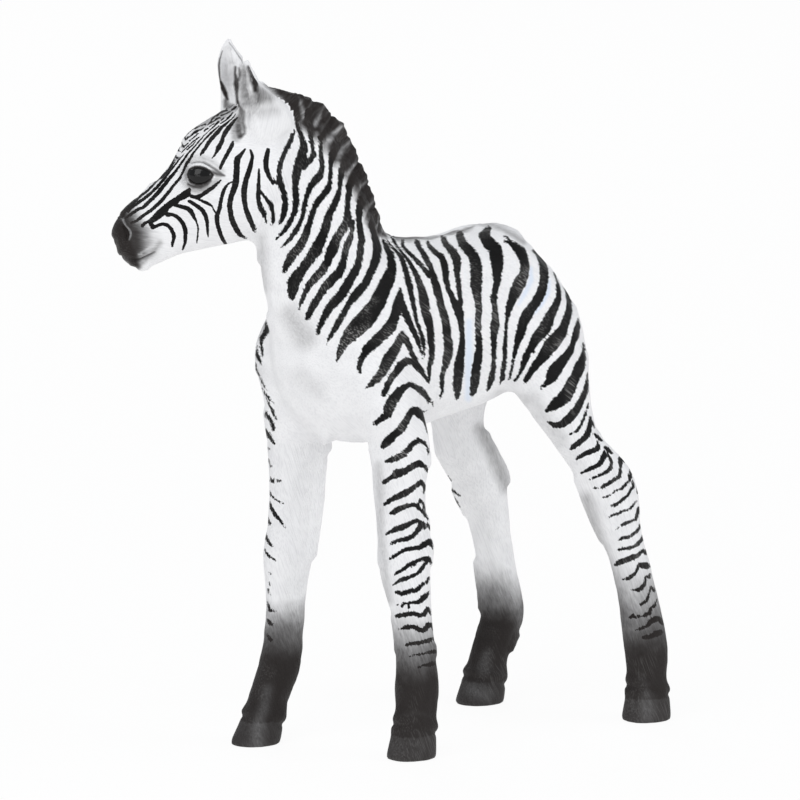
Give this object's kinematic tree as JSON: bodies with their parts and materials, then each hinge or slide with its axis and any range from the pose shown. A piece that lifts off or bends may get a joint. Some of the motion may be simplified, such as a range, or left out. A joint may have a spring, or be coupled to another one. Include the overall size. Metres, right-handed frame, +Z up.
{
  "type": "toy zebra foal figure",
  "caption": "Standing zebra foal figure in moulded plastic, with plug-in neck, head, ears, mane, tail and legs, for pretend play.",
  "frame": {"origin": "middle of the figure's box in plan, on the level that its four hooves stand on", "axes": "+Z up, -Y the way that the foal's body faces, +X the foal's left side"},
  "size_m": [0.0242, 0.0632, 0.0792],
  "materials": {
    "coat": "white with painted near-black stripes, satin",
    "ear": "grey wash with dark rims, satin",
    "mane": "near-black with grey tufts, satin",
    "tail": "white root fading to a dark tuft, satin",
    "leg": "white with dark bands, fading to dark grey-brown hooves, satin"
  },
  "bodies": {
    "root": {"torso": "coat", "neck": "coat", "head": "coat", "left_ear": "ear", "right_ear": "ear", "mane": "mane", "tail": "tail", "left_foreleg": "leg", "right_foreleg": "leg", "left_hind_leg": "leg", "right_hind_leg": "leg"}
  },
  "joints": []
}
